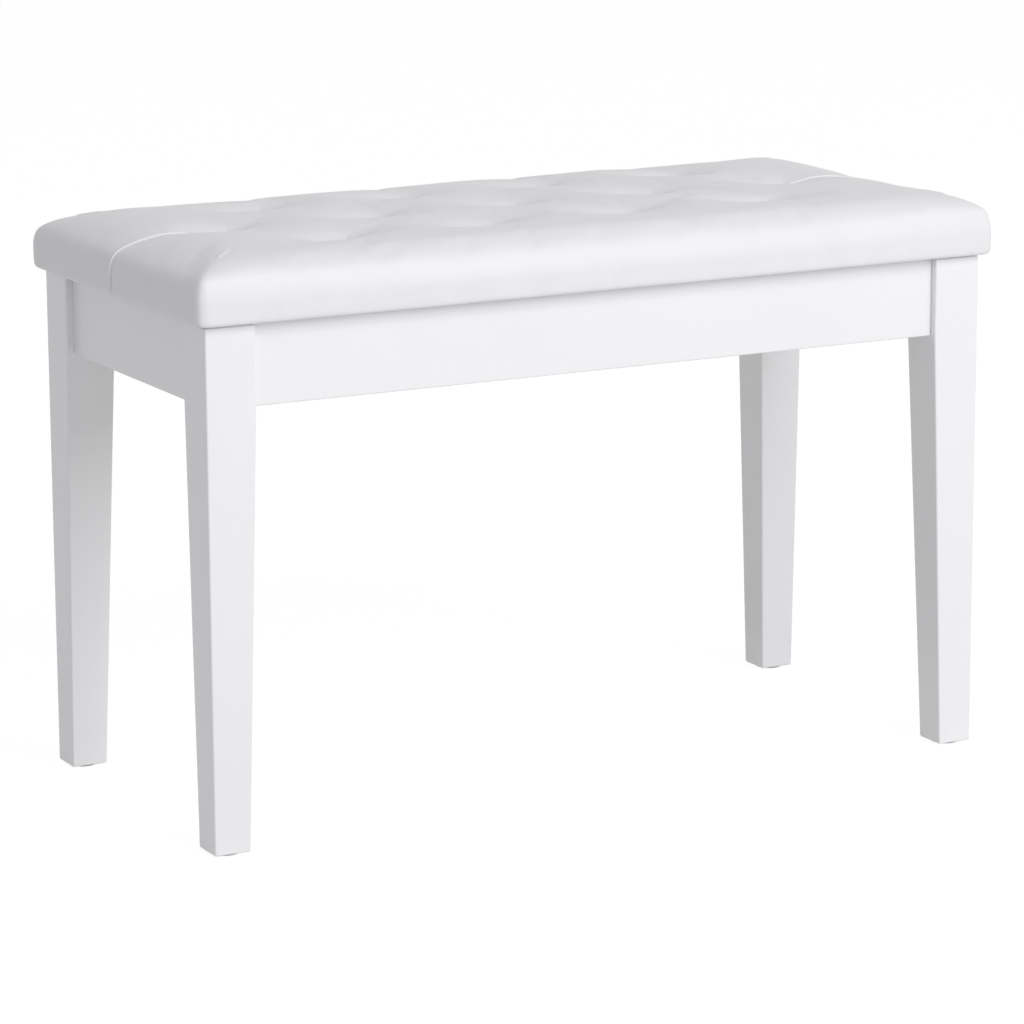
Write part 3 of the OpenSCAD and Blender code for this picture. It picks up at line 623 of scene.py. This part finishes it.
def stuffed(blank):
    """Stuffs the cover with Blender's cloth: what is held stays, and pressure fills the rest."""
    first, last = 1, 20
    top_swell, side_swell = 3 * MM, 1 * MM
    start = [v.co.copy() for v in blank.data.vertices]
    hold(blank)
    cloth = blank.modifiers.new("stuffing", "CLOTH")
    settings = cloth.settings
    settings.quality = 6
    settings.mass = 0.25
    settings.tension_stiffness = settings.compression_stiffness = 30
    settings.shear_stiffness = 12
    settings.bending_stiffness = 1.5
    settings.shrink_min = -0.003
    settings.use_pressure = True
    settings.uniform_pressure_force = 4
    settings.effector_weights.gravity = 0
    settings.vertex_group_mass = "held"
    settings.pin_stiffness = 1
    cloth.collision_settings.use_collision = False
    cloth.point_cache.frame_start, cloth.point_cache.frame_end = first, last
    for number in range(first, last + 1):
        SCENE.frame_set(number)
    filled = finished_mesh(blank, "stuffed_cover")
    SCENE.frame_set(first)
    blank.modifiers.clear()
    for v, before in zip(filled.vertices, start):
        step = v.co - before
        most = top_swell if before.z > WALL_TOP + 10 * MM else side_swell
        if step.length > most:
            v.co = before + step * (most / step.length)
    blank.data = filled


def subdivided(made):
    """Smooths the piece's mesh by one round of subdivision and keeps the result."""
    smooth = made.modifiers.new("smooth", "SUBSURF")
    smooth.levels = smooth.render_levels = 1
    mesh = finished_mesh(made, made.name)
    made.modifiers.clear()
    made.data = mesh


def tuft_folds():
    """The short folds that each tie pulls into the leather, as (start, end, depth, width)."""
    draw = random.Random(11)

    def beside(tuft, x, y):
        return tuft + Vector((x + draw.uniform(-3, 3), y + draw.uniform(-2, 2))) * MM

    return [(beside(t, *start), beside(t, *end), depth * MM, width * MM)
            for t in TUFTS for start, end, depth, width in TIE_FOLDS]


def corner_folds():
    """The short raised pleat over each corner, where the top of the cover meets its sides."""
    folds = []
    for _, sx, sy in CORNERS:
        outer = Vector((sx * HALF.x, sy * HALF.y))
        inward = Vector((-sx, -sy)).normalized()
        folds.append((outer + inward * 50 * MM, outer + inward * 74 * MM, -0.9 * MM, 1.8 * MM))
    return folds


def fold_at(point, folds):
    """How far a plan point sinks into the nearest folds, and how deep in a fold it is from 0 to 1."""
    sink = deepest = 0.0
    for start, end, depth, width in folds:
        way = end - start
        t = (point - start).dot(way) / way.length_squared
        if not FOLD_START < t < FOLD_END:
            continue
        off = (point - start - way * min(1.0, max(0.0, t))).length
        if off > 4 * width:
            continue
        fade = ramp(FOLD_END - t, 0.0, 0.5) * ramp(t - FOLD_START, 0.0, 0.25)
        sink += depth * fade * (bell(off, width) - 0.35 * bell(off - 2.2 * width, width))
        deepest = max(deepest, fade * bell(off, width))
    return sink, deepest


def refine(bm, near):
    """Halves the mesh where near(face middle) says so."""
    near_edges = {e for f in bm.faces if near(f.calc_center_median()) for e in f.edges}
    edges = [e for e in bm.edges if e in near_edges]
    bmesh.ops.subdivide_edges(bm, edges=edges, cuts=1, use_grid_fill=True, smooth=0)


def by_tie_folds(place):
    """Whether a place on top is near enough to a tie to be folded by it."""
    return place.z > WALL_TOP and nearest_tuft(place.xy + Vector((8 * MM, 0))) < 38 * MM


def by_pleat(place):
    """Whether a place lies beside a corner's mitre line, where the pleat runs."""
    from_end, from_side = insets(place.x, place.y)
    return from_end + from_side < 145 * MM and abs(from_end - from_side) < 14 * MM


def crease(bm):
    """Presses the folds into the stuffed cover and marks them with the painted shade that the finish darkens
    them by.
    """
    tufts, corners = tuft_folds(), corner_folds()
    refine(bm, by_tie_folds)
    refine(bm, by_pleat)
    # The fold attribute carries painted shade for the leather: how much darker each point is drawn.
    fold = bm.verts.layers.float.new("fold")
    bm.normal_update()
    moves = []
    for v in bm.verts:
        if v.co.z < HEM_LOW + 1 * MM:
            continue
        spot = v.co.xy
        near = nearest_tuft(spot)
        folds, painted_shade = (corners, 0.1) if near > TIE_REACH else (tufts, 0.5)
        sink, share = fold_at(spot, folds)
        # Painted shade: strongest in the tie folds and the pits round each tie, faint along the corner
        # pleats.
        v[fold] = min(1.0, painted_shade * share + 0.6 * bell(near, 4 * MM))
        wave = 0.55 * MM * (1 - ramp(v.co.z, SEAT_LOW.z, WALL_TOP)) * noise.noise(v.co * 26)
        if sink or wave:
            moves.append((v, v.normal * (wave - sink)))
    for v, move in moves:
        v.co += move


def close_under(bm):
    """Turns the hem up round the lid board and closes the stuffing over the board."""
    lift, clear = 1.1 * MM, 0.3 * MM
    edge = Vector((BOARD_HIGH.x + clear, BOARD_HIGH.y + clear))
    hem = Vector((HALF.x - HEM, HALF.y - HEM))
    for v in grown_rim(bm):
        v.co.z = HEM_LOW + lift
    for v in grown_rim(bm):
        v.co = (v.co.x * (edge.x / hem.x), v.co.y * (edge.y / hem.y), BOARD_LOW.z - clear / 2)
    for v in grown_rim(bm):
        v.co.z = BOARD_HIGH.z + clear
    bmesh.ops.holes_fill(bm, edges=rim_of(bm), sides=0)


def seat_cushion():
    """The seat: the leather cover and its stuffing, as one padded piece."""
    made = in_scene("seat_cushion", mesh_from("seat_cushion", seat_blank()))
    stuffed(made)
    subdivided(made)
    bm = bmesh.new()
    bm.from_mesh(made.data)
    crease(bm)
    close_under(bm)
    bmesh.ops.recalc_face_normals(bm, faces=bm.faces)
    bm.to_mesh(made.data)
    bm.free()
    made.data.materials.clear()
    made.data.materials.append(LEATHER)
    made.data.shade_smooth()
    made.data.set_sharp_from_angle(angle=math.radians(75))
    settle(made, "lid", ["seat_cover", "foam_pad"])
    return made


# ---------------------------------------------------------------- seams, twine and underside of the lid

LINING_LOW, LINING_HIGH = BOX["underside_lining"]
STAPLE_STEP = 45 * MM


def tube(name, paths, radius, finish, replaced=(), roundness=3):
    """Round welt, thread, twine or wire along one or more paths, as one piece of the lid."""
    data = bpy.data.curves.new(name, "CURVE")
    data.dimensions = "3D"
    data.bevel_depth, data.bevel_resolution, data.use_fill_caps = radius, roundness, True
    for path in paths:
        spline = data.splines.new("POLY")
        spline.points.add(len(path) - 1)
        for place, point in zip(spline.points, path):
            place.co = (*point, 1)
    line = in_scene(name + "_line", data)
    mesh = finished_mesh(line, name)
    bpy.data.objects.remove(line)
    mesh.materials.clear()
    mesh.materials.append(finish)
    mesh.shade_smooth()
    settle(in_scene(name, mesh), "lid", replaced)


def surface_of(made):
    """The piece's surface, for finding points on it."""
    return BVHTree.FromObject(made, bpy.context.evaluated_depsgraph_get())


def plumbed(surface, x, y):
    """Where a line straight down at x and y meets the surface, as a ray cast gives it."""
    return surface.ray_cast(Vector((x, y, 0.6)), Vector((0, 0, -1)))


def seam_places(surface, sx, offset, lift):
    """Points down a seam line, from its end tuft over the end of the seat to the hem."""
    along, over = 13, 26
    start, bend = SEAM_START + 5 * MM, HALF.x - 70 * MM
    middle = Vector((sx * bend, offset, SEAT_LOW.z + 6 * MM))
    hits = [plumbed(surface, sx * (start + (bend - start) * k / along), offset) for k in range(along + 1)]
    for k in range(1, over + 1):
        angle = math.pi / 2 * (1 - k / over)
        way = Vector((sx * math.cos(angle), 0, math.sin(angle) * 0.8)).normalized()
        hits.append(surface.ray_cast(middle + way * 0.5, -way))
    places = [spot + normal * lift for spot, normal, _, _ in hits]
    return places + [places[-1] + Vector((-sx * 0.7, 0, -4.4)) * MM]


def end_seams(surface):
    """A raised, stitched seam runs over each end of the seat to the first tuft of the middle row."""
    stitch_line, shortest, hump = 3.2 * MM, 2.0 * MM, Vector((0, 0, 0.15 * MM))
    for side, sx in SIDES:
        tube("seam_welt_" + side, [seam_places(surface, sx, 0, 0.5 * MM)], 1.15 * MM, LEATHER)
        stitches = []
        for offset in (-stitch_line, stitch_line):
            line = seam_places(surface, sx, offset, 0.12 * MM)
            for a, b in zip(line, line[1:]):
                way = b - a
                if way.length >= shortest:
                    stitches.append([a + way * 0.15, a + way * 0.5 + hump, a + way * 0.8])
        tube("seam_stitches_" + side, stitches, 0.28 * MM, THREAD, roundness=2)


def dust_sheet():
    """The black dust cloth under the lid, pulled tight between its staples."""
    width, length = LINING_HIGH.x - LINING_LOW.x, LINING_HIGH.y - LINING_LOW.y
    cell, thickness = 8 * MM, 0.3 * MM
    bm = bmesh.new()
    bmesh.ops.create_grid(bm, x_segments=round(width / cell), y_segments=round(length / cell), size=1.0)
    bmesh.ops.scale(bm, vec=(LINING_HIGH.x, LINING_HIGH.y, 1), verts=bm.verts)
    for v in bm.verts:
        from_end, from_side = LINING_HIGH.x - abs(v.co.x), LINING_HIGH.y - abs(v.co.y)
        edge = min(from_end, from_side)
        along = v.co.x if from_side < from_end else v.co.y
        pucker = 0.25 * MM * math.cos(along / STAPLE_STEP * 2 * math.pi) * bell(edge, 18 * MM)
        v.co.z = LINING_HIGH.z - 0.35 * MM - 0.25 * MM * ramp(edge, 0, 60 * MM) + pucker
    grown = bmesh.ops.extrude_face_region(bm, geom=bm.faces[:])["geom"]
    bmesh.ops.translate(bm, vec=(0, 0, thickness), verts=verts_in(grown))
    made = piece("dust_cloth", bm, CLOTH, "lid", ["underside_lining"])


def pinned_spots(inset):
    """Where the staples sit along the dust cloth's four sides, with the way each side runs."""
    spots = []
    x, y = LINING_HIGH.x - inset, LINING_HIGH.y - inset
    for across, reach, along in ((y, x, Vector((1, 0, 0))), (x, y, Vector((0, 1, 0)))):
        count = round(2 * reach / STAPLE_STEP)
        for k in range(count):
            t = -reach + (k + 0.5) * 2 * reach / count
            for sign in (-1, 1):
                point = Vector((t, sign * across, 0)) if along.x else Vector((sign * across, t, 0))
                spots.append((point, along))
    return spots


def staples():
    """Fine steel staples round the dust cloth, each a flat crown with two short legs."""
    tip, crown = LINING_HIGH.z + 3 * MM, LINING_HIGH.z - 0.95 * MM
    wires = []
    for point, along in pinned_spots(5 * MM):
        a, b = point - along * 5 * MM, point + along * 5 * MM
        wires.append([Vector((p.x, p.y, z)) for p, z in ((a, tip), (a, crown), (b, crown), (b, tip))])
    tube("lining_staples", wires, 0.3 * MM, ZINC, roundness=2)


def tie_twine(surface):
    """Waxed twine from under each tuft down through the board."""
    low, high = BOX["tuft_ties"]
    lines = []
    for t in TUFTS:
        pinch = plumbed(surface, t.x, t.y)[0]
        top = min(high.z, pinch.z - 1.6 * MM)
        lines.append([Vector((t.x, t.y, z)) for z in (low.z + 1 * MM, (low.z + top) / 2, top)])
    tube("tuft_twine", lines, 1.0 * MM, TWINE, ["tuft_ties"])


# ---------------------------------------------------------------- camera, light and floor

def camera():
    """A long lens from the front left, looking a little down on the seat."""
    data = bpy.data.cameras.new("camera")
    data.lens, data.sensor_width = 152.97, 36
    data.clip_start, data.clip_end = 0.1, 100
    made = in_scene("camera", data)
    made.location = (-1.7404, -3.2751, 1.0474)
    turn, tip, roll = math.radians(-27.93), math.radians(90 - 12.62), math.radians(-0.26)
    made.rotation_euler = (Matrix.Rotation(turn, 3, "Z") @ Matrix.Rotation(tip, 3, "X")
                           @ Matrix.Rotation(roll, 3, "Z")).to_euler()
    SCENE.camera = made
    SCENE.view_settings.view_transform = "Standard"


def soft_lamp(name, azimuth, elevation, distance, size, power):
    """A square lamp aimed at the seat. Azimuth 0 is the front and turns towards the right."""
    data = bpy.data.lights.new(name, "AREA")
    data.shape, data.size, data.energy = "SQUARE", size, power
    made = in_scene(name, data)
    a, e = math.radians(azimuth), math.radians(elevation)
    way = Vector((math.sin(a) * math.cos(e), -math.cos(a) * math.cos(e), math.sin(e)))
    made.location = Vector((0, 0, 0.35)) + way * distance
    made.rotation_euler = way.to_track_quat("Z", "Y").to_euler()


def white_seen(shader, lit, white, share, output):
    """Mixes plain white, by its share, into what the camera, glossy and transmission rays see."""
    straight, mirrored, through = (shader.node("ShaderNodeLightPath", output=ray) for ray in (
        "Is Camera Ray", "Is Glossy Ray", "Is Transmission Ray"))
    seen = straight.at_least(mirrored).at_least(through)
    mixed = shader.node("ShaderNodeMixShader", inputs={0: seen * share, 1: lit, 2: white})
    shader.node(output, inputs={"Surface": mixed})


def studio_light():
    """Even, slightly cool light from all round, and one large soft lamp."""
    SCENE.world = bpy.data.worlds.new("studio")
    air = Shader(SCENE.world)
    air.tree.nodes.clear()
    pale = air.node("ShaderNodeBackground", inputs={"Color": shade(0.985, 0.99, 1.0), "Strength": 0.465})
    white = air.node("ShaderNodeBackground", inputs={"Color": shade(1.0, 1.0, 1.0), "Strength": 1.02})
    white_seen(air, pale, white, 1.0, "ShaderNodeOutputWorld")
    soft_lamp("front_lamp", azimuth=13, elevation=29, distance=5.0, size=3.2, power=138)


def studio_floor():
    """A wide sheet of white paper that keeps the bench's shadow."""
    bm = bmesh.new()
    bmesh.ops.create_grid(bm, x_segments=1, y_segments=1, size=12)
    bmesh.ops.translate(bm, vec=(0, 0, -0.2 * MM), verts=bm.verts)
    floor = in_scene("studio_floor", mesh_from("studio_floor", bm))
    paper = bpy.data.materials.new("studio_paper")
    sheet = Shader(paper)
    sheet.tree.nodes.clear()
    lit = sheet.node("ShaderNodeBsdfDiffuse", inputs={"Color": shade(0.82, 0.82, 0.82)})
    white = sheet.node("ShaderNodeEmission", inputs={"Strength": 1.10})
    white_seen(sheet, lit, white, 0.85, "ShaderNodeOutputMaterial")
    floor.data.materials.append(paper)


# ---------------------------------------------------------------- making the bench

camera()
studio_light()
studio_floor()
finish_carried_nodes()
for corner, sx, sy in CORNERS:
    leg(corner, sx, sy)
for name in ("front_apron", "back_apron", "left_end_apron", "right_end_apron"):
    apron(name)
leather_surface = surface_of(seat_cushion())
end_seams(leather_surface)
dust_sheet()
staples()
tie_twine(leather_surface)
